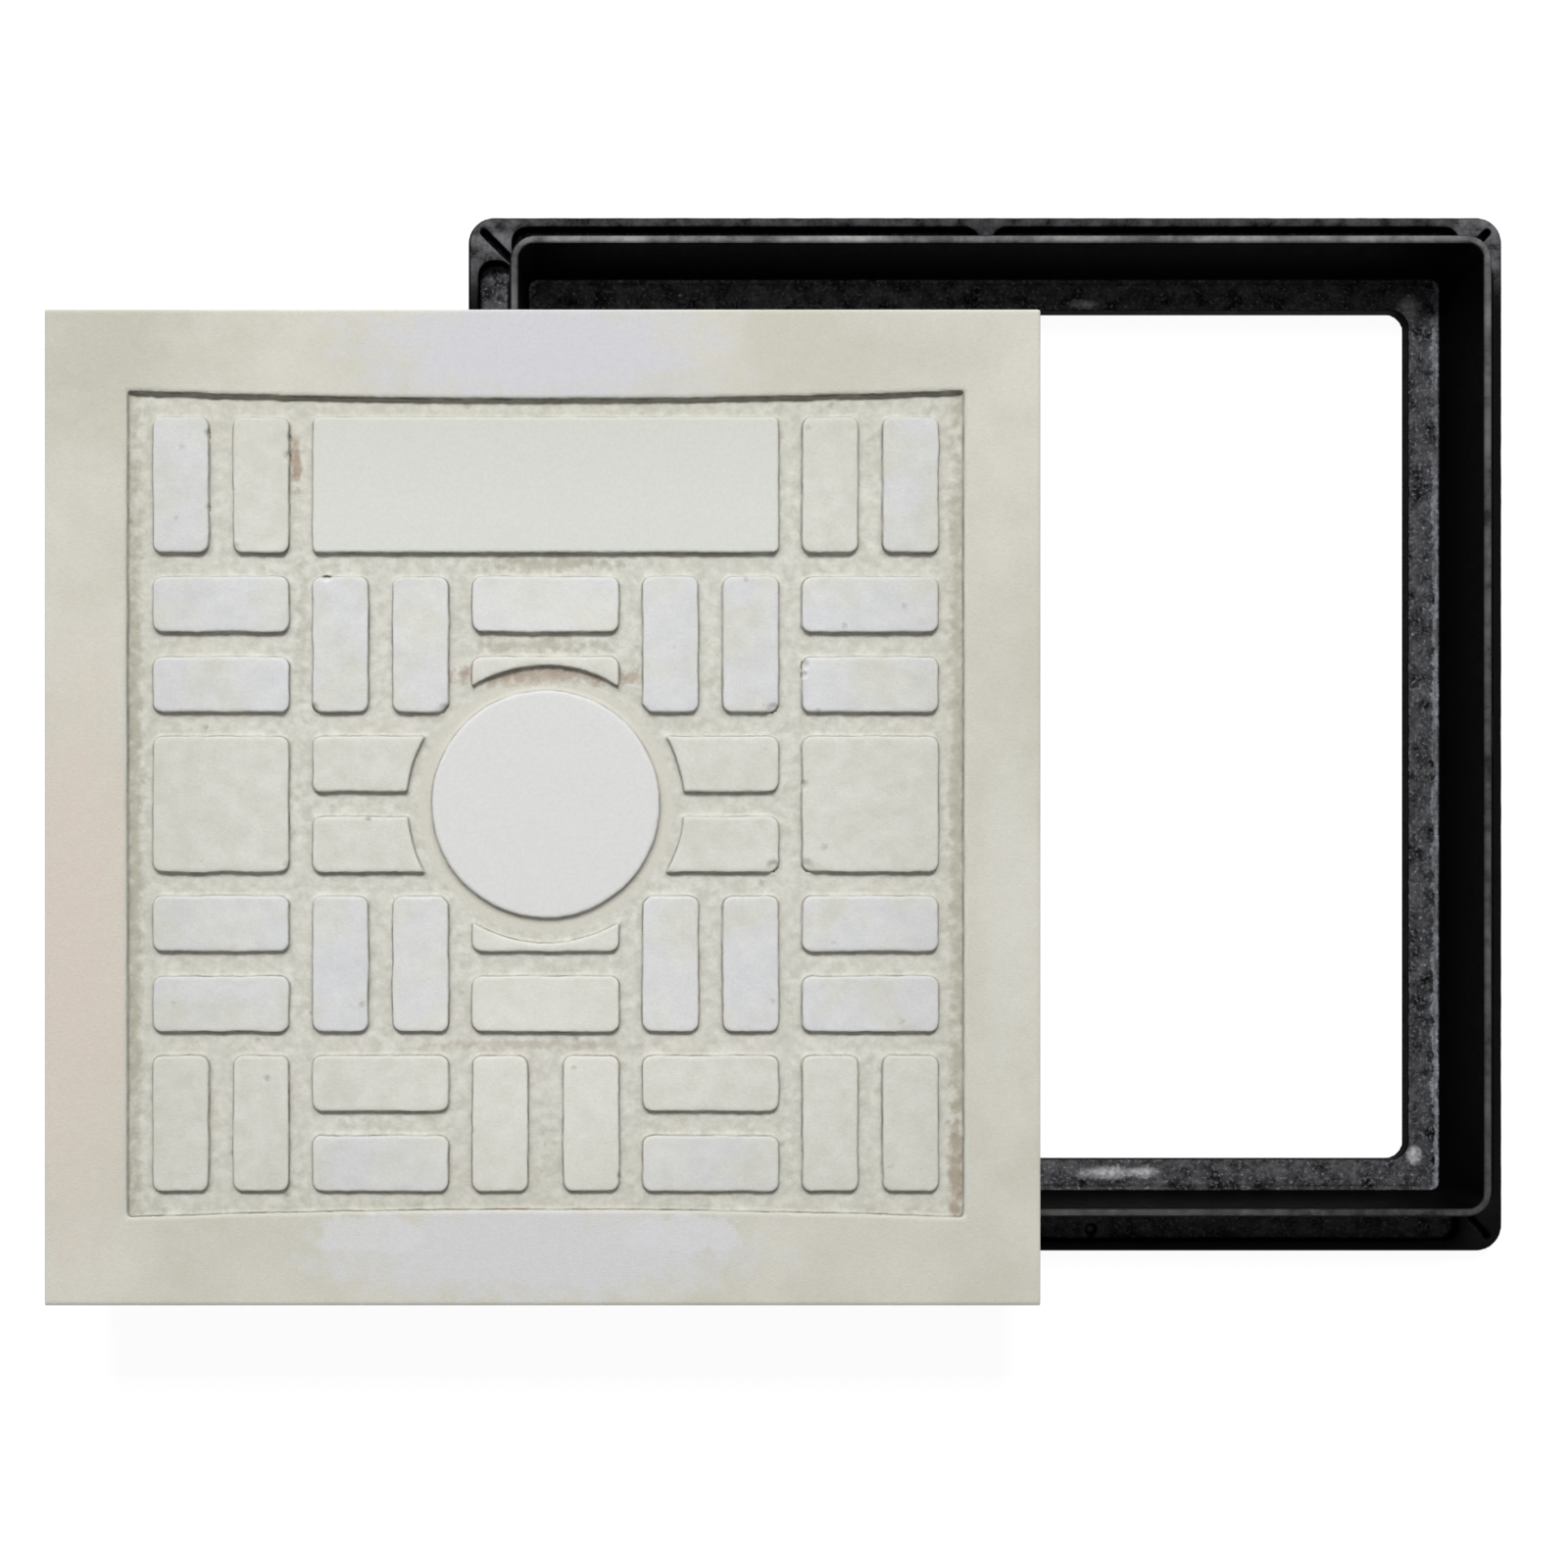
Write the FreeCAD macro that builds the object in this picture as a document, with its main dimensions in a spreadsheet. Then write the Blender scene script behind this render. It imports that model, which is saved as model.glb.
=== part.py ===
import FreeCAD, Part
import math
import os

import Sketcher

# A recessed paving cover and its cast iron frame. Lengths are millimetres, +Z is up.
# The origin is the middle of the frame's clear opening, on the ground. The cover has been lifted out
# and laid across the frame's rim, over its left side: one moulding resting on one casting.

SIZES = (
    # The frame
    ("clear_opening", 600, "side of the square opening"),
    ("opening_radius", 13, "corner radius of the opening"),
    ("ledge_width", 22.5, "opening edge to the foot of the wall"),
    ("ledge_thickness", 10, "ground to the ledge that carries the cover"),
    ("root_width", 4.5, "shallow groove at the foot of the wall, which drains the ledge"),
    ("root_depth", 1, "depth of that groove"),
    ("seat_depth", 50, "ledge to the top of the rim"),
    ("seat_flare", 4, "how far each seat wall leans outward on its way up"),
    ("seat_radius", 7, "inner corner radius at the foot of the seat"),
    ("rim_width", 6, "width of the wall's top edge"),
    ("rim_bevel", 1.2, "bevel along the rim's two edges"),
    ("wall_flare", 4, "how far the wall's outer face spreads on its way down"),
    ("flange_width", 27.5, "foot of the wall to the flange's outer edge"),
    ("flange_radius", 18, "corner radius of the flange"),
    ("flange_floor", 6, "plate left under the flange's pockets"),
    ("lip_height", 15, "ground to the top of the flange's lip"),
    ("lip_width", 7.5, "width of the lip round the pockets"),
    ("lip_bevel", 2, "bevel along the lip's outer edge"),
    ("pocket_radius", 10, "corner radius of a pocket"),
    ("pocket_margin", 31, "flange's outer edge to the end of a pocket"),
    ("rib_width", 9, "rib between the two pockets of a side"),
    ("slot_width", 5, "diagonal slot in a flange corner"),
    ("slot_inset", 11, "flange's outer edges to the round end of that slot"),
    # The cover
    ("seat_clearance", 3.5, "gap a side between the seated cover and the seat"),
    ("set_down", 1, "how far the seated cover stays below the rim"),
    ("cover_arris", 1.5, "rounding of the slab's top edges"),
    ("pattern_shift", 2, "middle of the slab to the middle of the pattern, along X and along Y"),
    ("panel_depth", 4.5, "depth of the recessed panel"),
    ("panel_margin", 15.5, "outermost blocks to the panel's edge"),
    ("panel_bow", 5, "how far the panel's two long edges bow inward"),
    ("panel_bevel", 1, "bevel along the panel's edge"),
    ("cell", 90, "side of one cell of the paving grid"),
    ("cell_gap", 13.5, "joint between two cells"),
    ("middle_column", 97, "width of the middle column of cells"),
    ("block_width", 38, "narrow side of a block"),
    ("block_radius", 7, "corner radius of a block"),
    ("plate_radius", 5, "corner radius of the blank plate"),
    ("relief", 4, "how far the blocks and the boss rise from the panel"),
    ("block_lean", 1.4, "how far a block's sides lean inward over the relief"),
    ("boss_radius", 75.5, "round boss in the middle"),
    ("boss_lean", 2.4, "how far the boss's side leans inward over the relief"),
    ("ring_width", 13.5, "groove round the boss, which also clips its neighbours"),
    # Where the cover lies
    ("balance", 23.5, "outer edge of the left wall to the middle of the cover"),
    ("cover_back", 59, "how far the cover lies towards the front"),
)

# Sizes that follow from those above, as expressions that the sketches share.
SEAT_FOOT = "(sizes.clear_opening / 2 + sizes.ledge_width)"
SEAT_TOP = f"({SEAT_FOOT} + sizes.seat_flare)"
RIM_OUTER = f"({SEAT_TOP} + sizes.rim_width)"
WALL_FOOT = f"({RIM_OUTER} + sizes.wall_flare)"
FLANGE_EDGE = f"({WALL_FOOT} + sizes.flange_width)"
RIM_RADIUS = "(sizes.seat_radius + sizes.seat_flare + sizes.rim_width)"
FRAME_TOP = "(sizes.ledge_thickness + sizes.seat_depth)"
COVER_FOOT = f"({SEAT_FOOT} - sizes.seat_clearance)"
COVER_THICKNESS = "(sizes.seat_depth - sizes.set_down)"
COVER_TOP = f"({COVER_FOOT} + sizes.seat_flare * {COVER_THICKNESS} / sizes.seat_depth)"
PANEL_FLOOR = f"({COVER_THICKNESS} - sizes.panel_depth)"
RELIEF_TOP = f"({PANEL_FLOOR} + sizes.relief)"

# The paving grid, counted from the middle: where each column and row of cells starts and ends.
CELL_STEP = "(sizes.cell + sizes.cell_gap)"
COLUMN_EDGES = {
    0: ("-(sizes.middle_column / 2)", "(sizes.middle_column / 2)"),
    1: ("(sizes.middle_column / 2 + sizes.cell_gap)", f"(sizes.middle_column / 2 + {CELL_STEP})"),
    2: (f"(sizes.middle_column / 2 + {CELL_STEP} + sizes.cell_gap)",
        f"(sizes.middle_column / 2 + 2 * {CELL_STEP})"),
}
ROW_EDGES = {
    0: ("-(sizes.cell / 2)", "(sizes.cell / 2)"),
    1: ("(sizes.cell / 2 + sizes.cell_gap)", f"(sizes.cell / 2 + {CELL_STEP})"),
    2: (f"(sizes.cell / 2 + {CELL_STEP} + sizes.cell_gap)", f"(sizes.cell / 2 + 2 * {CELL_STEP})"),
}
GRID_HALF_WIDTH = COLUMN_EDGES[2][1]
GRID_HALF_HEIGHT = ROW_EDGES[2][1]

# The layout of the relief, seen from above, back row first. The plate covers three cells.
PAVING = (
    ("upright", "", "plate", "", "upright"),
    ("flat", "upright", "flat", "upright", "flat"),
    ("square", "flat", "", "flat", "square"),
    ("flat", "upright", "flat", "upright", "flat"),
    ("upright", "flat", "upright", "flat", "upright"),
)

QUARTER_TURN = math.pi / 2

doc = FreeCAD.newDocument("paving_cover")


def make_sheet():
    """Put every driving size in the sheet, a row each: its meaning, its value and its name."""
    sheet = doc.addObject("Spreadsheet::Sheet", "sizes")
    for row, (name, value, meaning) in enumerate(SIZES, start=1):
        sheet.set(f"A{row}", meaning)
        sheet.set(f"B{row}", str(value))
        sheet.setAlias(f"B{row}", name)
    doc.recompute()
    return sheet


sheet = make_sheet()


def size(expression):
    """The value of an expression in the sheet's names."""
    return float(sheet.evalExpression(expression))


def make_body(name):
    body = doc.addObject("PartDesign::Body", name)
    body.Label = name
    return body


def origin_feature(body, role):
    return [feature for feature in body.Origin.OriginFeatures if feature.Role == role][0]


def make_sketch(body, name, level):
    """An empty sketch parallel to the ground, at a level above the body's origin."""
    sketch = body.newObject("Sketcher::SketchObject", name)
    sketch.AttachmentSupport = [(origin_feature(body, "XY_Plane"), "")]
    sketch.MapMode = "FlatFace"
    sketch.setExpression("AttachmentOffset.Base.z", level)
    return sketch


def drive(sketch, joints, dimensions):
    """Add the constraints that join a shape, then its dimensions, each of which follows the sheet."""
    first = sketch.ConstraintCount + len(joints)
    sketch.addConstraint(joints + [constraint for constraint, expression in dimensions])
    for index, (constraint, expression) in enumerate(dimensions, start=first):
        sketch.setExpression(f"Constraints[{index}]", expression)


def tangent_joints(lines, arcs):
    """Constraints that join lines and corner arcs end to end, with the corners smooth and alike."""
    count = len(lines)
    joints = []
    for i in range(count):
        joints.append(Sketcher.Constraint("Tangent", lines[i], 2, arcs[i], 1))
        joints.append(Sketcher.Constraint("Tangent", arcs[i], 2, lines[(i + 1) % count], 1))
    for i in range(1, count):
        joints.append(Sketcher.Constraint("Equal", arcs[0], arcs[i]))
    return joints


def draw_rounded_box(sketch, left, right, bottom, top, radius):
    """Draw a rectangle with round corners. Each of its five sizes is an expression."""
    x0, x1, y0, y1, r = (size(text) for text in (left, right, bottom, top, radius))
    corners = ((x1 - r, y0 + r), (x1 - r, y1 - r), (x0 + r, y1 - r), (x0 + r, y0 + r))
    sides = (
        ((x0 + r, y0), (x1 - r, y0)),
        ((x1, y0 + r), (x1, y1 - r)),
        ((x1 - r, y1), (x0 + r, y1)),
        ((x0, y1 - r), (x0, y0 + r)),
    )
    lines = []
    arcs = []
    for quarter, (start, end) in enumerate(sides):
        lines.append(sketch.addGeometry(
            Part.LineSegment(FreeCAD.Vector(*start, 0), FreeCAD.Vector(*end, 0))))
        circle = Part.Circle(FreeCAD.Vector(*corners[quarter], 0), FreeCAD.Vector(0, 0, 1), r)
        begin = (quarter - 1) * QUARTER_TURN
        arcs.append(sketch.addGeometry(Part.ArcOfCircle(circle, begin, begin + QUARTER_TURN)))
    bottom_line, right_line, top_line, left_line = lines
    joints = tangent_joints(lines, arcs)
    joints += [Sketcher.Constraint("Horizontal", line) for line in (bottom_line, top_line)]
    joints += [Sketcher.Constraint("Vertical", line) for line in (right_line, left_line)]
    drive(sketch, joints, [
        (Sketcher.Constraint("DistanceX", -1, 1, left_line, 1, x0), left),
        (Sketcher.Constraint("DistanceX", -1, 1, right_line, 1, x1), right),
        (Sketcher.Constraint("DistanceY", -1, 1, bottom_line, 1, y0), bottom),
        (Sketcher.Constraint("DistanceY", -1, 1, top_line, 1, y1), top),
        (Sketcher.Constraint("Radius", arcs[0], r), radius),
    ])


def draw_rounded_square(sketch, half, radius):
    draw_rounded_box(sketch, f"-{half}", half, f"-{half}", half, radius)


def draw_diagonal_slot(sketch, far, near, width):
    """Draw a round-ended slot on the diagonal, between two points with equal X and Y."""
    a, b, r = size(far), size(near), size(width) / 2
    across = FreeCAD.Vector(1, -1, 0).normalize() * r
    far_centre = FreeCAD.Vector(a, a, 0)
    near_centre = FreeCAD.Vector(b, b, 0)
    normal = FreeCAD.Vector(0, 0, 1)
    lines = [
        sketch.addGeometry(Part.LineSegment(near_centre + across, far_centre + across)),
        sketch.addGeometry(Part.LineSegment(far_centre - across, near_centre - across)),
    ]
    half = QUARTER_TURN / 2
    arcs = [
        sketch.addGeometry(Part.ArcOfCircle(Part.Circle(far_centre, normal, r), -half, 3 * half)),
        sketch.addGeometry(Part.ArcOfCircle(Part.Circle(near_centre, normal, r), 3 * half, 7 * half)),
    ]
    drive(sketch, tangent_joints(lines, arcs)[:-1], [
        (Sketcher.Constraint("DistanceX", -1, 1, arcs[0], 3, a), far),
        (Sketcher.Constraint("DistanceY", -1, 1, arcs[0], 3, a), far),
        (Sketcher.Constraint("DistanceX", -1, 1, arcs[1], 3, b), near),
        (Sketcher.Constraint("DistanceY", -1, 1, arcs[1], 3, b), near),
        (Sketcher.Constraint("Radius", arcs[0], r), f"{width} / 2"),
    ])


def draw_circle(sketch, radius):
    circle = sketch.addGeometry(Part.Circle(FreeCAD.Vector(0, 0, 0), FreeCAD.Vector(0, 0, 1), size(radius)))
    drive(sketch, [Sketcher.Constraint("Coincident", circle, 3, -1, 1)],
          [(Sketcher.Constraint("Radius", circle, size(radius)), radius)])


def extrude(body, kind, name, sketch, length):
    """Pad upward from a sketch, or pocket downward from it."""
    feature = body.newObject(f"PartDesign::{kind}", name)
    feature.Profile = sketch
    feature.setExpression("Length", length)
    return feature


def lean_inward(feature, lean, length):
    """Let the sides of a pad or pocket lean inward by a distance over its length."""
    feature.setExpression("TaperAngle", f"-atan({lean} / {length})")


def turn_four_times(body, name, feature):
    """Repeat a feature on all four sides."""
    pattern = body.newObject("PartDesign::PolarPattern", name)
    pattern.Originals = [feature]
    pattern.Axis = (origin_feature(body, "Z_Axis"), [""])
    pattern.Angle = 360
    pattern.Occurrences = 4
    body.Tip = pattern
    return pattern


def edges_at(feature, level, reach_x, reach_y, inside):
    """Names of the level edges at a height, inside or outside a rectangle about the origin."""
    doc.recompute()
    close = 0.01
    names = []
    for number, edge in enumerate(feature.Shape.Edges, start=1):
        box = edge.BoundBox
        if abs(box.ZMin - level) > close or abs(box.ZMax - level) > close:
            continue
        far_x = max(abs(box.XMin), abs(box.XMax))
        far_y = max(abs(box.YMin), abs(box.YMax))
        if (far_x < reach_x + close and far_y < reach_y + close) == inside:
            names.append(f"Edge{number}")
    return names


def dress(body, kind, name, base, edges, amount):
    """Fillet or chamfer the named edges of the last feature."""
    feature = body.newObject(f"PartDesign::{kind}", name)
    feature.Base = (base, edges)
    feature.setExpression("Radius" if kind == "Fillet" else "Size", amount)
    body.Tip = feature
    return feature


def make_frame():
    """The iron frame, as it is cast: flange, drafted wall, seat and opening."""
    body = make_body("frame")

    outline = make_sketch(body, "flange_outline", "0")
    draw_rounded_square(outline, FLANGE_EDGE, "sizes.flange_radius")
    extrude(body, "Pad", "flange", outline, "sizes.lip_height")

    # The pockets run in under the wall, which is cast over their inner edges.
    pockets = make_sketch(body, "pocket_outline", "sizes.lip_height")
    pocket_end = f"({FLANGE_EDGE} - sizes.pocket_margin)"
    pocket_outer = f"({FLANGE_EDGE} - sizes.lip_width)"
    half_rib = "(sizes.rib_width / 2)"
    draw_rounded_box(pockets, half_rib, pocket_end, RIM_OUTER, pocket_outer, "sizes.pocket_radius")
    draw_rounded_box(pockets, f"-{pocket_end}", f"-{half_rib}", RIM_OUTER, pocket_outer,
                     "sizes.pocket_radius")
    draw_diagonal_slot(pockets, f"({FLANGE_EDGE} - sizes.slot_inset)", f"({RIM_OUTER} - sizes.rim_width)",
                       "sizes.slot_width")
    pocket = extrude(body, "Pocket", "flange_pockets", pockets, "sizes.lip_height - sizes.flange_floor")
    turn_four_times(body, "pockets_all_round", pocket)

    wall_foot = make_sketch(body, "wall_foot", "0")
    draw_rounded_square(wall_foot, WALL_FOOT, f"({RIM_RADIUS} + sizes.wall_flare)")
    wall = extrude(body, "Pad", "wall", wall_foot, FRAME_TOP)
    lean_inward(wall, "sizes.wall_flare", FRAME_TOP)

    seat_top = make_sketch(body, "seat_top", FRAME_TOP)
    draw_rounded_square(seat_top, SEAT_TOP, "(sizes.seat_radius + sizes.seat_flare)")
    seat = extrude(body, "Pocket", "seat", seat_top, "sizes.seat_depth")
    lean_inward(seat, "sizes.seat_flare", "sizes.seat_depth")

    root = make_sketch(body, "root_groove_outline", "sizes.ledge_thickness")
    draw_rounded_square(root, SEAT_FOOT, "sizes.seat_radius")
    draw_rounded_square(root, f"({SEAT_FOOT} - sizes.root_width)", "(sizes.seat_radius - sizes.root_width / 2)")
    extrude(body, "Pocket", "root_groove", root, "sizes.root_depth")

    opening = make_sketch(body, "opening_outline", "sizes.ledge_thickness")
    draw_rounded_square(opening, "(sizes.clear_opening / 2)", "sizes.opening_radius")
    cut = extrude(body, "Pocket", "opening", opening, "sizes.ledge_thickness")
    cut.Type = "ThroughAll"

    everywhere = size(FLANGE_EDGE)
    rim_edges = edges_at(cut, size(FRAME_TOP), everywhere, everywhere, True)
    rim = dress(body, "Chamfer", "rim_bevels", cut, rim_edges, "sizes.rim_bevel")
    pocket_reach = size(pocket_outer)
    lip_edges = edges_at(rim, size("sizes.lip_height"), pocket_reach, pocket_reach, False)
    dress(body, "Chamfer", "lip_bevel", rim, lip_edges, "sizes.lip_bevel")
    return body


def cell_edges(edges, place):
    """Start and end of a column or row, counted from the middle, either way."""
    start, end = edges[abs(place)]
    if place < 0:
        return f"-{end}", f"-{start}"
    return start, end


def draw_cell(sketch, kind, column, row):
    """Draw what one cell of the paving holds: two blocks, one square block or the plate."""
    left, right = cell_edges(COLUMN_EDGES, column)
    bottom, top = cell_edges(ROW_EDGES, row)
    radius = "sizes.block_radius"
    if kind == "upright":
        draw_rounded_box(sketch, left, f"({left} + sizes.block_width)", bottom, top, radius)
        draw_rounded_box(sketch, f"({right} - sizes.block_width)", right, bottom, top, radius)
    if kind == "flat":
        draw_rounded_box(sketch, left, right, bottom, f"({bottom} + sizes.block_width)", radius)
        draw_rounded_box(sketch, left, right, f"({top} - sizes.block_width)", top, radius)
    if kind == "square":
        draw_rounded_box(sketch, left, right, bottom, top, radius)
    if kind == "plate":
        reach = COLUMN_EDGES[1][1]
        draw_rounded_box(sketch, f"-{reach}", reach, bottom, top, "sizes.plate_radius")


def draw_bowed_panel(sketch):
    """Draw the panel's outline: straight sides, and front and back edges that bow inward."""
    side = f"({GRID_HALF_WIDTH} + sizes.panel_margin)"
    corner = f"({GRID_HALF_HEIGHT} + sizes.panel_margin)"
    bow_radius = f"({side} * {side} + sizes.panel_bow * sizes.panel_bow) / (2 * sizes.panel_bow)"
    x, y, bow = size(side), size(corner), size("sizes.panel_bow")
    front_left, front_right, back_right, back_left = (
        FreeCAD.Vector(*point, 0) for point in ((-x, -y), (x, -y), (x, y), (-x, y)))
    edges = [
        Part.Arc(front_left, FreeCAD.Vector(0, bow - y, 0), front_right),
        Part.LineSegment(front_right, back_right),
        Part.Arc(back_right, FreeCAD.Vector(0, y - bow, 0), back_left),
        Part.LineSegment(back_left, front_left),
    ]
    front, right, back, left = (sketch.addGeometry(edge) for edge in edges)
    # An arc is kept turning anticlockwise, so these two run from their far end to their near one.
    joints = [
        Sketcher.Constraint("Coincident", front, 1, right, 1),
        Sketcher.Constraint("Coincident", right, 2, back, 2),
        Sketcher.Constraint("Coincident", back, 1, left, 1),
        Sketcher.Constraint("Coincident", left, 2, front, 2),
        Sketcher.Constraint("Vertical", right),
        Sketcher.Constraint("Vertical", left),
    ]
    drive(sketch, joints, [
        (Sketcher.Constraint("DistanceX", -1, 1, right, 1, x), side),
        (Sketcher.Constraint("DistanceX", -1, 1, left, 1, -x), f"-{side}"),
        (Sketcher.Constraint("DistanceY", -1, 1, right, 1, -y), f"-{corner}"),
        (Sketcher.Constraint("DistanceY", -1, 1, right, 2, y), corner),
        (Sketcher.Constraint("DistanceY", -1, 1, left, 1, y), corner),
        (Sketcher.Constraint("DistanceY", -1, 1, left, 2, -y), f"-{corner}"),
        (Sketcher.Constraint("Radius", back, size(bow_radius)), bow_radius),
        (Sketcher.Constraint("Radius", front, size(bow_radius)), bow_radius),
    ])


def make_cover():
    """The cover slab, moulded in one piece. Its body's origin is the middle of the pattern."""
    body = make_body("cover")

    # The slab is a wedge that widens upward as the seat does. On this plane its Y runs up, its Z to the front.
    slab = body.newObject("PartDesign::AdditiveWedge", "slab")
    slab.AttachmentSupport = [(origin_feature(body, "XZ_Plane"), "")]
    slab.MapMode = "FlatFace"
    for axis, shift in (("X", "- sizes.pattern_shift"), ("Z", "+ sizes.pattern_shift")):
        for level, half in (("", COVER_FOOT), ("2", COVER_TOP)):
            slab.setExpression(f"{axis}{level}min", f"-{half} {shift}")
            slab.setExpression(f"{axis}{level}max", f"{half} {shift}")
    slab.Ymin = 0
    slab.setExpression("Ymax", COVER_THICKNESS)
    everywhere = size(COVER_TOP) * 2
    top_edges = edges_at(slab, size(COVER_THICKNESS), everywhere, everywhere, True)
    dress(body, "Fillet", "slab_arris", slab, top_edges, "sizes.cover_arris")

    panel_outline = make_sketch(body, "panel_outline", COVER_THICKNESS)
    draw_bowed_panel(panel_outline)
    panel = extrude(body, "Pocket", "panel", panel_outline, "sizes.panel_depth")

    side = size(f"({GRID_HALF_WIDTH} + sizes.panel_margin)")
    corner = size(f"({GRID_HALF_HEIGHT} + sizes.panel_margin)")
    panel_edges = edges_at(panel, size(COVER_THICKNESS), side, corner, True)
    dress(body, "Chamfer", "panel_edge", panel, panel_edges, "sizes.panel_bevel")

    # Each cell has a sketch of its own on the panel's floor, and all of them are raised together.
    cells = []
    for row, kinds in zip((2, 1, 0, -1, -2), PAVING):
        for column, kind in zip((-2, -1, 0, 1, 2), kinds):
            if kind:
                cell = make_sketch(body, f"{kind}_outline", PANEL_FLOOR)
                draw_cell(cell, kind, column, row)
                cells.append(cell)
    paving = body.newObject("PartDesign::SubShapeBinder", "paving_outline")
    paving.Support = cells
    paving.MakeFace = True
    blocks = extrude(body, "Pad", "paving", paving, "sizes.relief")
    lean_inward(blocks, "sizes.block_lean", "sizes.relief")

    # The ring groove clears a disc out of the blocks, and the boss then stands in its middle.
    disc_outline = make_sketch(body, "disc_outline", RELIEF_TOP)
    draw_circle(disc_outline, "(sizes.boss_radius + sizes.ring_width + sizes.block_lean)")
    disc = extrude(body, "Pocket", "disc", disc_outline, "sizes.relief")
    lean_inward(disc, "sizes.block_lean", "sizes.relief")
    boss_outline = make_sketch(body, "boss_outline", PANEL_FLOOR)
    draw_circle(boss_outline, "sizes.boss_radius")
    boss = extrude(body, "Pad", "boss", boss_outline, "sizes.relief")
    lean_inward(boss, "sizes.boss_lean", "sizes.relief")

    # The slab lies on the rim, with its middle just inside the left wall, so it doesn't tip.
    body.setExpression("Placement.Base.x", f"sizes.balance - {RIM_OUTER} + sizes.pattern_shift")
    body.setExpression("Placement.Base.y", "sizes.pattern_shift - sizes.cover_back")
    body.setExpression("Placement.Base.z", FRAME_TOP)
    return body


def check_model(bodies):
    """Stop if any feature failed or any piece isn't one valid solid."""
    doc.recompute()
    for thing in doc.Objects:
        if "Invalid" in thing.State or "Error" in thing.State:
            raise RuntimeError(f"{thing.Name} failed: {thing.State}")
    for body in bodies:
        shape = body.Shape
        if shape.isNull() or not shape.isValid() or len(shape.Solids) != 1:
            raise RuntimeError(f"{body.Label} isn't one valid solid")


bodies = [make_frame(), make_cover()]
check_model(bodies)
os.makedirs("parts", exist_ok=True)
for body in bodies:
    body.Shape.exportStep(f"parts/{body.Label}.step")
    print(body.Label, "volume", round(body.Shape.Volume), "box", body.Shape.BoundBox)
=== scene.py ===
# %% [markdown]
# # A paving cover beside its opening
#
# The object is an access cover for a paved street: a pale moulded slab whose shallow recess carries a
# paving pattern in relief, and the black cast iron frame that it belongs in. The cover has been lifted
# out and laid across the frame's rim.
#
# The engineering model is loaded first and stays where it is. Both visible pieces are finer copies of
# its two solids, so nothing has to be fitted by eye.

import bpy
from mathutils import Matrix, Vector


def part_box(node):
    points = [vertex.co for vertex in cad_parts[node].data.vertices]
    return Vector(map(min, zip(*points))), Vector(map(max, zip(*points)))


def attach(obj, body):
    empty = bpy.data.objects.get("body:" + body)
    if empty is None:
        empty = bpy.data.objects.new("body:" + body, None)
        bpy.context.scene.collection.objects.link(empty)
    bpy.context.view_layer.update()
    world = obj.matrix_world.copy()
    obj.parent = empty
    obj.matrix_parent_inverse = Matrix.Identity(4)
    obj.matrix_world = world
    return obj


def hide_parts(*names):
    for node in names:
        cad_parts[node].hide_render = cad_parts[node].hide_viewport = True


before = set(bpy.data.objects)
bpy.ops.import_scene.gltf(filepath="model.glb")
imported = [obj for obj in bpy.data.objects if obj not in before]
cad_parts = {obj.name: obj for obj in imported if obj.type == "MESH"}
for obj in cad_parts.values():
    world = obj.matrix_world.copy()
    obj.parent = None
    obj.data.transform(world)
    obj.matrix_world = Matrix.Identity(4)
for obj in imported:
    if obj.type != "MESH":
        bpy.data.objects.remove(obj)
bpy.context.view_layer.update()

print("nodes", sorted(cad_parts))

# %% [markdown]
# ## Small helpers
#
# Lengths are written in millimetres, as a foundry's drawing gives them, and turned to metres once.
# The operators act on whatever is selected, so each step begins by selecting one piece and nothing else.

# %% Units, selection and modifiers
MM = 0.001


def make_active(piece):
    bpy.ops.object.select_all(action="DESELECT")
    piece.select_set(True)
    bpy.context.view_layer.objects.active = piece


def apply_modifier(piece, kind, **settings):
    """Add a modifier, set it and apply it."""
    make_active(piece)
    modifier = piece.modifiers.new(kind.title(), kind)
    for setting, value in settings.items():
        setattr(modifier, setting, value)
    bpy.ops.object.modifier_apply(modifier=modifier.name)


def triangles(piece):
    return sum(len(face.vertices) - 2 for face in piece.data.polygons)


def report(piece, step):
    print(f"{piece.name}: {step}, {len(piece.data.vertices)} vertices, {triangles(piece)} triangles")


# %% [markdown]
# ## From a solid to a casting
#
# A cast or moulded surface has no razor edge and no perfect plane. Bevelling every edge by hand would
# round them, but all alike. Here the whole solid is melted once into a fine skin of equal small squares
# (a voxel remesh) and smoothed a little, so every edge and every foot gets its own soft radius.

# %% Melt a node's solid into a fine skin
WELD = 0.02 * MM
SKIN = 1.2 * MM


def skin_of(node, name):
    """A copy of a node's solid as one closed skin of small squares."""
    piece = bpy.data.objects.new(name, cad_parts[node].data.copy())
    bpy.context.scene.collection.objects.link(piece)
    piece.data.materials.clear()
    make_active(piece)
    bpy.ops.object.mode_set(mode="EDIT")
    bpy.ops.mesh.select_all(action="SELECT")
    bpy.ops.mesh.remove_doubles(threshold=WELD)
    bpy.ops.object.mode_set(mode="OBJECT")
    apply_modifier(piece, "REMESH", mode="VOXEL", voxel_size=SKIN)
    apply_modifier(piece, "SMOOTH", factor=0.5, iterations=2)
    report(piece, "melted")
    return piece


# %% [markdown]
# ### Roughness where it belongs
#
# On the even skin, textures can push single points about, which a mesh of long triangles would not
# allow. A vertex group names the points that a step may touch, so the floor of a recess can be lumpy
# beside a block that is smooth.

# %% Mark points, push them about and sink hollows
def near(height, level, band):
    """Whether a height lies at a level, give or take a band."""
    return abs(height - level) < band


def mark(piece, name, wanted):
    """A vertex group of the points that a test accepts."""
    group = piece.vertex_groups.new(name=name)
    group.add([point.index for point in piece.data.vertices if wanted(point.co)], 1.0, "REPLACE")
    return name


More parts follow.
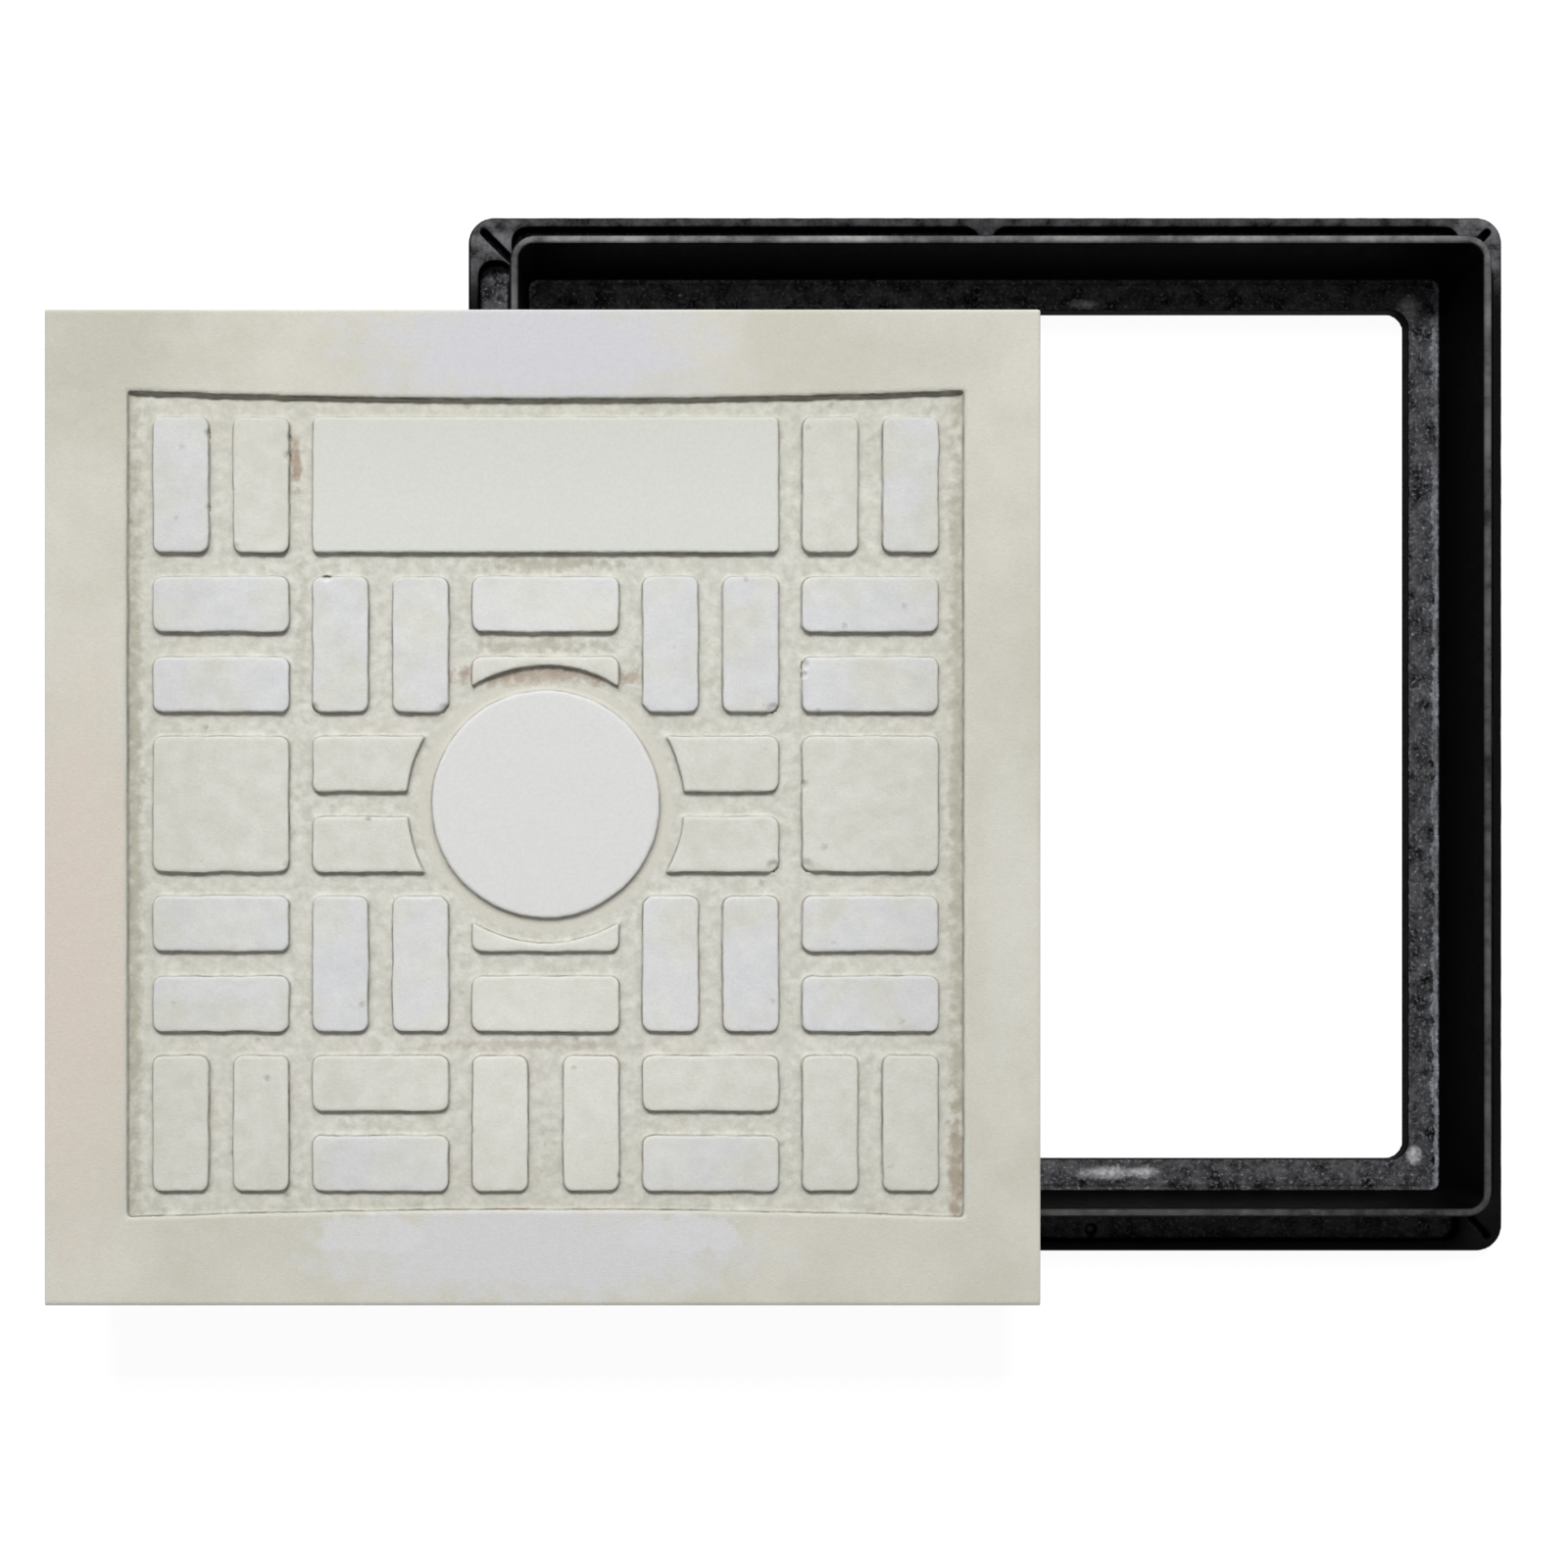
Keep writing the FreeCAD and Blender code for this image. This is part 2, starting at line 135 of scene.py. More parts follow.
def roughen(piece, group, direction, grain, depth, basis):
    """Push points along one direction by a soft noise of a given grain, up to half the depth either way."""
    texture = bpy.data.textures.new(f"{group}_{direction}_{grain}", "CLOUDS")
    texture.noise_scale = grain * MM
    texture.noise_depth = 2
    texture.noise_basis = basis
    apply_modifier(piece, "DISPLACE", texture=texture, vertex_group=group, direction=direction,
                   strength=depth * MM, mid_level=0.5, texture_coords="LOCAL")


def sink(piece, name, origin, places, low, depth):
    """Sink small hollows (x, y, radius) into whatever lies above a level, deepest in their middles."""
    group = piece.vertex_groups.new(name=name)
    above = [(point.index, point.co.xy) for point in piece.data.vertices if point.co.z > low]
    for x, y, radius in places:
        middle = (origin + Vector((x, y, 0)) * MM).xy
        for index, spot in above:
            inside = 1 - (spot - middle).length / (radius * MM)
            if inside > 0:
                group.add([index], min(2 * inside, 1), "REPLACE")
    apply_modifier(piece, "DISPLACE", vertex_group=name, direction="Z", strength=-depth * MM, mid_level=0)


# %% [markdown]
# ### Thinning
#
# Equal squares are more than a flat part needs, and past 200,000 triangles a piece is thinned when it is
# exported. A decimate gives the points of the flat parts back and keeps those of the edges, and normals
# weighted by area keep the large faces flat to the eye.

# %% Thin and shade a skin
MOST_TRIANGLES = 190000


def finish_skin(piece):
    """Thin a skin and shade it smooth."""
    share = min(1, MOST_TRIANGLES / triangles(piece))
    apply_modifier(piece, "DECIMATE", decimate_type="COLLAPSE", ratio=share)
    make_active(piece)
    bpy.ops.object.shade_smooth()
    apply_modifier(piece, "WEIGHTED_NORMAL", mode="FACE_AREA")
    report(piece, "thinned")


# %% [markdown]
# ## The cover's levels
#
# Three levels describe the top of the cover: the margin, the floor of the recess and the tops of the
# paving blocks, which end just below the margin. All are counted down from the top of the loaded node.
# The pattern's middle lies a little off the slab's, as on the real one.

# %% Levels and places of the cover
RECESS_DEPTH, BLOCK_HEIGHT = 4.5 * MM, 4.0 * MM
PATTERN_SHIFT = Vector((2 * MM, 2 * MM, 0))
cover_low, cover_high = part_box("cover")
COVER_MIDDLE = (cover_low + cover_high) / 2
MARGIN_TOP = cover_high.z
PANEL_FLOOR = MARGIN_TOP - RECESS_DEPTH
RELIEF_TOP = PANEL_FLOOR + BLOCK_HEIGHT
PATTERN_MIDDLE = COVER_MIDDLE + PATTERN_SHIFT
PANEL_HALF = Vector((271 * MM, 267.5 * MM, 0))


def in_panel(point, spare=0):
    """Whether a point lies in the recess, made larger by a spare length or smaller by a negative one."""
    away = point - PATTERN_MIDDLE
    return abs(away.x) < PANEL_HALF.x + spare and abs(away.y) < PANEL_HALF.y + spare


print("cover: top", round(MARGIN_TOP / MM, 1), "mm up, recess", round(2 * PANEL_HALF.x / MM), "mm wide")

# %% [markdown]
# ## Which block is which
#
# The pattern lies on a grid of five columns and five rows round the middle. A point's cell tells what it
# belongs to: a pair of upright or flat blocks, a square block, the blank plate or the round boss. The
# paving blocks are a little lumpy. The plate and the boss, kept blank for lettering, are quite smooth.

# %% Find the block under a point
CELL = 90 * MM
JOINT = 13.5 * MM
MIDDLE_COLUMN = 97 * MM
RING_RADIUS = 83 * MM

# Rows from the back to the front, and in each its columns from left to right.
PAVING = (
    ("upright", "plate", "plate", "plate", "upright"),
    ("flat", "upright", "flat", "upright", "flat"),
    ("square", "flat", "boss", "flat", "square"),
    ("flat", "upright", "flat", "upright", "flat"),
    ("upright", "flat", "upright", "flat", "upright"),
)


def cell_at(distance, middle):
    """Number of the column or row at a distance from the middle, and how far it lies into that cell."""
    side = -1 if distance < 0 else 1
    past = abs(distance) - middle / 2
    if past < 0:
        return 0, distance + middle / 2
    number = min(int(past / (CELL + JOINT)), 1)
    into = past - number * (CELL + JOINT) - JOINT
    return side * (number + 1), into if side > 0 else CELL - into


def block_at(point):
    """The cell's kind, column and row, and which of its two blocks the point lies nearer to."""
    away = point - PATTERN_MIDDLE
    if away.xy.length < RING_RADIUS:
        return "boss", 0, 0, 0
    column, into_x = cell_at(away.x, MIDDLE_COLUMN)
    row, into_y = cell_at(away.y, CELL)
    kind = PAVING[2 - row][column + 2]
    half = int((into_x if kind == "upright" else into_y) > CELL / 2)
    return kind, column, row, half


def is_plain(point):
    """Whether a point belongs to the plate's raised part, or to the boss and its ring."""
    kind = block_at(point)[0]
    return kind == "boss" or (kind == "plate" and point.z > PANEL_FLOOR + 1 * MM)


print("the middle of the pattern is the", block_at(PATTERN_MIDDLE)[0])

# %% [markdown]
# ## The cover's mould
#
# The real relief was pressed by hand into a wet mix, so its outlines wander by about a millimetre. One
# slow and one quick sideways push, in each direction, give that. The blocks then wander once more by
# themselves, because the plate and the boss have truer edges. The left and right sides of the recess
# look soft in the picture, so they alone are smoothed further.

# %% Melt the cover and let its outlines wander
# Each push: direction, grain and depth in millimetres, and the kind of noise.
RELIEF_WANDER = (
    ("X", 30, 1.0, "BLENDER_ORIGINAL"), ("Y", 28, 1.0, "ORIGINAL_PERLIN"),
    ("X", 6, 0.5, "IMPROVED_PERLIN"), ("Y", 5.5, 0.5, "BLENDER_ORIGINAL"),
)
BLOCK_WANDER = (("X", 22, 1.1, "ORIGINAL_PERLIN"), ("Y", 24, 1.1, "BLENDER_ORIGINAL"))
SOFT_SIDE = 5 * MM
SOFT_SIDE_PASSES = 14


def in_relief(point, spare):
    """Whether a point of the recess lies at its floor or above."""
    return point.z > PANEL_FLOOR - 1 * MM and in_panel(point, spare)


def on_block(point):
    return in_relief(point, -6 * MM) and block_at(point)[0] not in ("plate", "boss")


def on_soft_side(point):
    away = point - PATTERN_MIDDLE
    return (point.z > PANEL_FLOOR - 1 * MM and near(abs(away.x), PANEL_HALF.x, SOFT_SIDE)
            and abs(away.y) < PANEL_HALF.y - 1 * MM)


cover = skin_of("cover", "cover_casting")
relief = mark(cover, "relief", lambda point: in_relief(point, 4 * MM))
for push in RELIEF_WANDER:
    roughen(cover, relief, *push)
blocks = mark(cover, "blocks", on_block)
for push in BLOCK_WANDER:
    roughen(cover, blocks, *push)
soft_sides = mark(cover, "soft_sides", on_soft_side)
apply_modifier(cover, "SMOOTH", vertex_group=soft_sides, factor=0.5, iterations=SOFT_SIDE_PASSES)
report(cover, "outlines wander")

# %% [markdown]
# ### Lumps and bites
#
# The floor between the blocks was never trowelled and is lumpy. The tops of the blocks are nearly level,
# and the plate and the boss only roll a little. Where the mix stuck to the mould, an edge has lost a
# small bite. Each one below is a bite that the picture shows: its place from the pattern's middle and
# its radius, in millimetres.

# %% Roughen the floor and the tops, and bite the edges
FLOOR_BAND, TOP_BAND = 0.6 * MM, 0.3 * MM
BITE_DEPTH = 1.8
BITES = (
    (-151, 61, 5), (-142, 148, 4), (-64, 60, 6), (148, 61, 5), (167, 90, 4), (167, 84, 3), (148, -41, 5),
    (166, 12, 4), (168, -42, 7), (-166, 225, 4), (-165, 238, 3), (-217, 240, 4), (-217, 192, 3),
    (101, 147, 3), (-101, -150, 3), (49, -241, 3),
)


def on_lumpy_floor(point):
    return near(point.z, PANEL_FLOOR, FLOOR_BAND) and in_panel(point) and not is_plain(point)


def on_block_top(point):
    return near(point.z, RELIEF_TOP, TOP_BAND) and in_panel(point, -8 * MM) and not is_plain(point)


def on_plain_top(point):
    return near(point.z, RELIEF_TOP, TOP_BAND) and is_plain(point)


roughen(cover, mark(cover, "panel_floor", on_lumpy_floor), "Z", 6, 1.3, "ORIGINAL_PERLIN")
roughen(cover, mark(cover, "rough_tops", on_block_top), "Z", 9, 0.45, "ORIGINAL_PERLIN")
roughen(cover, mark(cover, "struck_tops", on_plain_top), "Z", 25, 0.25, "ORIGINAL_PERLIN")
sink(cover, "chips", PATTERN_MIDDLE, BITES, PANEL_FLOOR + 1 * MM, BITE_DEPTH)
finish_skin(cover)
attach(cover, "root")
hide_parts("cover")

# %% [markdown]
# ## Tones that follow the pattern
#
# The blocks were not all filled from the same batch: some cured a cool, bluish white, others cream. A
# number stored on the points of each block tells the material which it is. Painting them by hand would
# give the same look, but a rule stays true when the mesh changes.

# %% Store the tones
# Rows that cured cool, and single blocks that did, as column, row and which of the pair.
COOL_ROWS = (1, -1)
COOL_BLOCKS = {(-2, 2, 0), (2, 2, 1), (0, 1, 1), (-1, -2, 0), (1, -2, 0)}


def store(piece, name, value_of):
    """Store one number on every point, for the material to read."""
    attribute = piece.data.attributes.new(name, "FLOAT", "POINT")
    attribute.data.foreach_set("value", [value_of(point.co) for point in piece.data.vertices])


def coolness(point):
    kind, column, row, half = block_at(point)
    if not in_panel(point, -10 * MM) or kind in ("plate", "square"):
        return 0.0
    return float(kind == "boss" or (row in COOL_ROWS and column != 0) or (column, row, half) in COOL_BLOCKS)


def in_recess(point):
    return in_panel(point, 2 * MM) and PANEL_FLOOR - 2 * MM < point.z < MARGIN_TOP - 0.25 * MM


def outerness(point):
    """0 in the middle of the panel, 1 at its sides."""
    away = point - PATTERN_MIDDLE
    return max(abs(away.x), abs(away.y)) / PANEL_HALF.x


store(cover, "panel", lambda point: float(in_recess(point)))
store(cover, "cool", coolness)
store(cover, "plain", lambda point: float(is_plain(point)))
store(cover, "outer", outerness)
print("tones stored:", [attribute.name for attribute in cover.data.attributes if attribute.name[0] != "."])

# %% [markdown]
# ## The frame's sand casting
#
# Iron poured into a sand mould keeps the grain of the sand. Thick black coating fills most of it, but on
# the level ledge and the flange, where the coat ran thin, the surface stays lumpy. Gas in the mould has
# left one blow hole in the front pocket.

# %% Model the frame
LEDGE_TOP, FLANGE_FLOOR, LIP_TOP = 10 * MM, 6 * MM, 15 * MM
LEVEL_BAND = 0.5 * MM
BLOW_HOLES = ((77, -350, 4.5),)
BLOW_HOLE_DEPTH = 3
FRAME_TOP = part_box("frame")[1].z


def on_level_part(point):
    return near(point.z, LEDGE_TOP, LEVEL_BAND) or near(point.z, FLANGE_FLOOR, LEVEL_BAND)


def on_wall(point):
    return LEDGE_TOP + 3 * MM < point.z < FRAME_TOP - 3 * MM


iron = skin_of("frame", "frame_casting")
roughen(iron, mark(iron, "level_parts", on_level_part), "Z", 4, 1.3, "ORIGINAL_PERLIN")
roughen(iron, mark(iron, "walls", on_wall), "NORMAL", 12, 0.5, "ORIGINAL_PERLIN")
sink(iron, "blow_hole", Vector((0, 0, 0)), BLOW_HOLES, FLANGE_FLOOR - 1 * MM, BLOW_HOLE_DEPTH)
finish_skin(iron)
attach(iron, "root")
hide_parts("frame")

# %% [markdown]
# ## The camera
#
# The picture was taken from straight above, well inside the frame's left wall, which is why the frame's
# right flange hides behind its own wall. The cover's top lies nearer to the lens than the frame does, so
# it looks larger by the ratio of the two distances, and that ratio gives the camera's height. A shift
# lens keeps the view straight down although the lens isn't over the picture's middle.

# %% Place the camera
# The lens stands over one place of the frame, which the picture shows at its foot pixel. The pixel's
# size is the one at the height of the rim.
SENSOR = 36
PICTURE_SIDE = 1600
MM_PER_PIXEL = 0.6631
FOOT_PIXEL = Vector((604, 960))
EYE_X, EYE_Y, EYE_ABOVE_RIM = -277 * MM, -145.5 * MM, 1131 * MM
camera_data = bpy.data.cameras.new("camera")
camera = bpy.data.objects.new("camera", camera_data)
bpy.context.scene.collection.objects.link(camera)
camera.location = (EYE_X, EYE_Y, FRAME_TOP + EYE_ABOVE_RIM)
camera_data.sensor_width = SENSOR
camera_data.lens = SENSOR * EYE_ABOVE_RIM / (PICTURE_SIDE * MM_PER_PIXEL * MM)
camera_data.shift_x = (PICTURE_SIDE / 2 - FOOT_PIXEL.x) / PICTURE_SIDE
camera_data.shift_y = (FOOT_PIXEL.y - PICTURE_SIDE / 2) / PICTURE_SIDE
bpy.context.scene.camera = camera
print(f"camera: {camera_data.lens:.1f} mm lens, shift {camera_data.shift_x:.3f}, {camera_data.shift_y:.3f}")

# %% [markdown]
# ## Helpers for materials
#
# Every pattern is a few nodes that read the piece's own coordinates. Colours are written as hex, the way
# a paint chart gives them, and turned to the linear values that shaders add up correctly. One function
# adds any node. What it needs to know about each kind stands in one table, so a material reads as a
# list of steps and not as a wall of settings.

# %% Colours and scales
def linear(code):
    """A colour written as sRGB hex, as the linear colour that shaders use."""
    channels = [int(code[i:i + 2], 16) / 255 for i in (1, 3, 5)]
    return (*(c / 12.92 if c <= 0.04045 else ((c + 0.055) / 1.055) ** 2.4 for c in channels), 1)


def per(length):
    """The scale at which a texture repeats every so many millimetres."""
    return 1 / (length * MM)


print("mid grey is", round(linear("#808080")[0], 3), "to a shader")

# %% Nodes
# For each kind: Blender's name for it, its settings, the inputs that are filled in order, and the output
# that is taken unless another is named. A Mix node's colours are its inputs 6 and 7 and its output 2.
# Compare gives 1 where its first two numbers differ by no more than its third.
KINDS = {
    "position": ("ShaderNodeTexCoord", {}, (), "Object"),
    "normal": ("ShaderNodeNewGeometry", {}, (), "Normal"),
    "attribute": ("ShaderNodeAttribute", {}, (), "Fac"),
    "ray": ("ShaderNodeLightPath", {}, (), "Is Camera Ray"),
    "noise": ("ShaderNodeTexNoise", {}, ("Vector", "Scale", "Detail", "Roughness"), 0),
    "bubbles": ("ShaderNodeTexVoronoi", {}, ("Vector", "Scale"), "Distance"),
    "open sky": ("ShaderNodeAmbientOcclusion", {"samples": 8}, ("Distance",), "AO"),
    "split": ("ShaderNodeSeparateXYZ", {}, ("Vector",), "Z"),
    "centre": ("ShaderNodeMapping", {"vector_type": "TEXTURE"}, ("Vector", "Location", "Scale"), 0),
    "length": ("ShaderNodeVectorMath", {"operation": "LENGTH"}, (0,), "Value"),
    "absolute": ("ShaderNodeVectorMath", {"operation": "ABSOLUTE"}, (0,), "Vector"),
    "range": ("ShaderNodeMapRange", {}, ("Value", "From Min", "From Max", "To Min", "To Max"), 0),
    "plus": ("ShaderNodeMath", {"operation": "ADD"}, (0, 1), 0),
    "times": ("ShaderNodeMath", {"operation": "MULTIPLY"}, (0, 1), 0),
    "larger": ("ShaderNodeMath", {"operation": "MAXIMUM"}, (0, 1), 0),
    "smaller": ("ShaderNodeMath", {"operation": "MINIMUM"}, (0, 1), 0),
    "within": ("ShaderNodeMath", {"operation": "COMPARE"}, (0, 1, 2), 0),
    "grey": ("ShaderNodeCombineColor", {}, ("Red", "Green", "Blue"), 0),
    "blend": ("ShaderNodeMix", {"data_type": "RGBA"}, ("Factor", 6, 7), 2),
    "bump": ("ShaderNodeBump", {}, ("Height", "Strength", "Distance"), 0),
}


def add(material, kind, *values, output=None, **settings):
    """Add a node, set it, fill its inputs with values or other nodes' outputs, and return one output."""
    blender_name, usual_settings, sockets, usual_output = KINDS[kind]
    node = material.node_tree.nodes.new(blender_name)
    for setting, value in {**usual_settings, **settings}.items():
        setattr(node, setting, value)
    for socket, value in zip(sockets, values):
        if isinstance(value, bpy.types.NodeSocket):
            material.node_tree.links.new(value, node.inputs[socket])
        else:
            node.inputs[socket].default_value = value
    return node.outputs[output or usual_output]


def feed(material, output, socket):
    material.node_tree.links.new(output, socket)


def start_material(name):
    material = bpy.data.materials.new(name)
    material.use_nodes = True
    return material, material.node_tree.nodes["Principled BSDF"]


print(len(KINDS), "kinds of node in use")

# %% [markdown]
# ### Two patterns used throughout
#
# Nearly every tone here is either a mottle of two colours that follows a noise, or a patch: an oval
# whose edge a noise has broken up. Both are several nodes each time, so each has a name.

# %% Mottles and patches
# A patch ends where its radius, 1, plus the mean of the noise, a half, is reached. It is taller than
# the slab, so that it marks the sides of what it lies on too.
PATCH_EDGE = 1.5
PATCH_HEIGHT = 200


def mottled(material, noise, low, high, first, second):
    """One colour where a noise is low, another where it is high."""
    return add(material, "blend", add(material, "range", noise, low, high), linear(first), linear(second))


def patch(material, position, middle, half, wobble, softness):
    """1 inside an oval, with a ragged edge, 0 outside."""
    radius = add(material, "length", add(material, "centre", position, middle, half))
    ragged_radius = add(material, "plus", radius, wobble)
    return add(material, "range", ragged_radius, PATCH_EDGE + softness, PATCH_EDGE - softness)


print("patches are", PATCH_HEIGHT, "mm tall either way")

# %% [markdown]
# ## Stone
#
# The cover is wet-cast reconstituted stone: pale cement with fine limestone grit. It is matt all over.
# The panel's floor shows the grit, the tops were struck smooth, and dirt has settled at the feet of the
# blocks. The margin is a greyer cream with bleached patches where lime came to the surface.
#
# An image of stone would have to be unwrapped onto the cover and would repeat. Noise in the cover's own
# coordinates runs round every edge without a seam and never repeats, so that is used for everything.
#
# The noises go from clouds, a hand wide, where the mix dried unevenly, down to single grains. The real
# grit is under a millimetre, too fine to show in the picture, so it is drawn at 1.4 mm, and the specks
# of sand in the cement at 2.2 mm.

# %% Noise in the stone, from clouds of tone down to single grains
stone, surface = start_material("wet_cast_reconstituted_stone")
position = add(stone, "position")
cloud = add(stone, "noise", position, per(70), 4, 0.55)
drift = add(stone, "noise", position, per(38), 3, 0.5)
mottle = add(stone, "noise", position, per(14), 5, 0.6)
lump = add(stone, "noise", position, per(6), 3, 0.5)
speckle = add(stone, "noise", position, per(2.2), 4, 0.65)
grit = add(stone, "noise", position, per(1.4), 3, 0.6)
print("stone: noises of 70, 38, 14, 6, 2.2 and 1.4 mm")

# %% Masks: which part of the stone is being coloured
panel = add(stone, "attribute", attribute_name="panel")
cool = add(stone, "attribute", attribute_name="cool")
plain = add(stone, "attribute", attribute_name="plain")
outer = add(stone, "attribute", attribute_name="outer")
height = add(stone, "split", position)
raised = add(stone, "range", height, PANEL_FLOOR + 1 * MM, PANEL_FLOOR + 3 * MM)
smooth_top = add(stone, "times", plain, raised)
steep = add(stone, "range", add(stone, "split", add(stone, "normal")), 0.8, 0.35)
print("stone: masks for the panel, the cool batch, the blank tops, height and slope")

# %% [markdown]
# ### The panel
#
# The tops were trowelled last, from two batches of cement, one cream and one a cool white, so their
# colours drift within a block too. Two places on the middle line are painted paler, as painted light
# where the lamp falls strongest. The floor of the panel shows the lumps of the mix. Towards the edge of
# the panel everything is a little darker and greyer: partly dirt, partly painted shade where the light
# falls off away from the middle.

# %% Colour the tops of the blocks
cream = mottled(stone, mottle, 0.35, 0.65, "#CCCCC2", "#D6D6CF")
cool_white = mottled(stone, mottle, 0.3, 0.7, "#CECFD0", "#D8D8D9")
cool_here = add(stone, "times", cool, add(stone, "range", drift, 0.38, 0.58, 0.15, 1.0))
tops_colour = add(stone, "blend", cool_here, cream, cool_white)

# Each place painted paler as painted light: middle and half size, in millimetres from the pattern's middle.
PAINTED_LIGHT_PLACES = ((0, -175, 70, 110), (0, 119, 56, 24))
PAINTED_LIGHT_STRENGTH = 0.45
for x, y, half_x, half_y in PAINTED_LIGHT_PLACES:
    middle = PATTERN_MIDDLE + Vector((x, y, 0)) * MM
    painted_light = patch(stone, position, middle, Vector((half_x, half_y, PATCH_HEIGHT)) * MM, drift, 0.9)
    painted_light = add(stone, "times", painted_light, PAINTED_LIGHT_STRENGTH)
    tops_colour = add(stone, "blend", painted_light, tops_colour, linear("#E4E3DC"))
blank_colour = add(stone, "blend", cool, linear("#D4D5CF"), linear("#D8D8D6"))
tops_colour = add(stone, "blend", plain, tops_colour, blank_colour)
print("stone: tops coloured,", len(PAINTED_LIGHT_PLACES), "washed places")

# %% Colour the panel's floor
floor_colour = mottled(stone, lump, 0.35, 0.65, "#C1C0B5", "#D6D5CC")
clouded = add(stone, "range", cloud, 0.4, 0.6, 0.1, 0.35)
floor_colour = add(stone, "blend", clouded, floor_colour, linear("#CECCC2"))
floor_colour = add(stone, "blend", plain, floor_colour, linear("#CDCBC0"))
panel_colour = add(stone, "blend", raised, floor_colour, tops_colour)
# Darker and greyer towards the edge of the panel: partly dirt, partly painted shade where the light falls
# off away from the middle.
greyer = add(stone, "range", outer, 0.7, 1.0, 0, 0.18)
panel_colour = add(stone, "blend", greyer, panel_colour, linear("#A8A594"))
print("stone: panel's floor coloured")

# %% [markdown]
# ### The margin
#
# The plain margin round the panel is a greyer cream. Lime has come to the surface in the middle of the
# back and front sides and left pale, bluish patches with ragged edges. Each patch is an oval, given by
# its middle and half its size, with its edge broken up by the noise.

# %% Colour the margin
# Each patch: middle and half size in millimetres, softness, strength and colour.
MARGIN_PATCHES = (
    (-5, 297, 105, 38, 0.35, 1.0, "#CCCCD0"), (-4, -287, 128, 31, 0.3, 1.0, "#CFCFD0"),
    (-110, -276, 36, 12, 0.12, 0.6, "#D4D4D6"), (90, -276, 40, 12, 0.12, 0.6, "#D4D4D6"),
    (-303, -95, 40, 165, 0.5, 1.0, "#D1C7BC"), (-290, 300, 70, 50, 0.6, 0.7, "#B9B7A8"),
    (300, -60, 16, 120, 0.4, 0.35, "#D8D7D0"), (240, 300, 50, 20, 0.5, 0.4, "#C0BEB2"),
)
margin_colour = mottled(stone, cloud, 0.35, 0.65, "#C6C4B7", "#D0CEC3")
ragged = add(stone, "range", mottle, 0.2, 0.8)
for x, y, half_x, half_y, softness, strength, code in MARGIN_PATCHES:
    middle = COVER_MIDDLE + Vector((x, y, 0)) * MM
    where = patch(stone, position, middle, Vector((half_x, half_y, PATCH_HEIGHT)) * MM, ragged, softness)
    margin_colour = add(stone, "blend", add(stone, "times", where, strength), margin_colour, linear(code))
colour = add(stone, "blend", panel, margin_colour, panel_colour)
print("stone:", len(MARGIN_PATCHES), "patches on the margin")

# %% [markdown]
# ### Stains
#
# Rain carries rust and moss into the joints and leaves them where it stands longest: behind the boss and
# beside the blocks. Two long olive bands darken the floor along the left and right sides of the recess.
# They are the same ovals, broken up by the lumps, and they only reach what lies below the tops.

# %% Stain the joints
# Each stain: middle and half size in millimetres, strength and colour.
RUST, MOSS = "#8A6A52", "#9A9782"
STAINS = (
    (-162, 224, 3, 14, 0.6, RUST), (266, -240, 4, 40, 0.5, RUST), (0, 84, 60, 5, 0.5, RUST),
    (-12, -156, 50, 3, 0.25, RUST), (0, 156, 40, 4, 0.5, MOSS), (2, 104, 36, 4, 0.4, MOSS),
    # The two long olive bands darken the floor along the left and right sides of the recess.
    (-267, 0, 4, 290, 0.5, MOSS), (267, 0, 4, 290, 0.45, MOSS), (-158, 110, 3, 40, 0.2, MOSS),
)
STAIN_SOFTNESS = 0.5
broken = add(stone, "range", lump, 0.3, 0.7)
below = add(stone, "times", add(stone, "range", raised, 1, 0), panel)
for x, y, half_x, half_y, strength, code in STAINS:
    middle = PATTERN_MIDDLE + Vector((x, y, 0)) * MM
    half = Vector((half_x, half_y, PATCH_HEIGHT)) * MM
    stain = patch(stone, position, middle, half, broken, STAIN_SOFTNESS)
    stain = add(stone, "times", add(stone, "times", stain, strength), below)
    colour = add(stone, "blend", stain, colour, linear(code))
print("stone:", len(STAINS), "stains in the joints")

# %% [markdown]
# ### Dirt, painted shade and painted pits
#
# Dirt clings to the steep sides and fills the corners at their feet, and there the colour is darkened
# further as painted shade, which deepens the shadow lines at the feet of the blocks. Ambient occlusion
# finds such corners: it asks how much open sky a place sees within a few millimetres. Here and there a
# bubble in the wet mix left a shallow pit, 2 to 5 mm wide. The mesh has no pits: each is a dark spot
# painted for the shade inside it. Points strewn about 32 mm apart in space make those: where one happens
# to lie close under the surface, the surface is dark.

# %% Add specks, dirt with painted shade, and painted pit shade
SHADE_AND_DIRT_REACH = 5 * MM
fine = add(stone, "range", speckle, 0.25, 0.75, 0.94, 1.04)
specks = add(stone, "grey", fine, fine, fine)
colour = add(stone, "blend", 1.0, colour, specks, blend_type="MULTIPLY")

# Dirt in the corners and on the steep sides, darkened past dirt's own colour as painted shade
hollow = add(stone, "range", add(stone, "open sky", SHADE_AND_DIRT_REACH), 0.9, 0.5)
dirt_and_painted_shade = add(stone, "larger", hollow, add(stone, "times", steep, 0.75))
dirt_and_painted_shade = add(stone, "times", dirt_and_painted_shade, add(stone, "range", mottle, 0.36, 0.6, 0.35, 1.0))
dirt_and_painted_shade = add(stone, "times", dirt_and_painted_shade, panel)
colour = add(stone, "blend", dirt_and_painted_shade, colour, mottled(stone, cloud, 0.5, 0.62, "#4E4838", "#5C4435"))

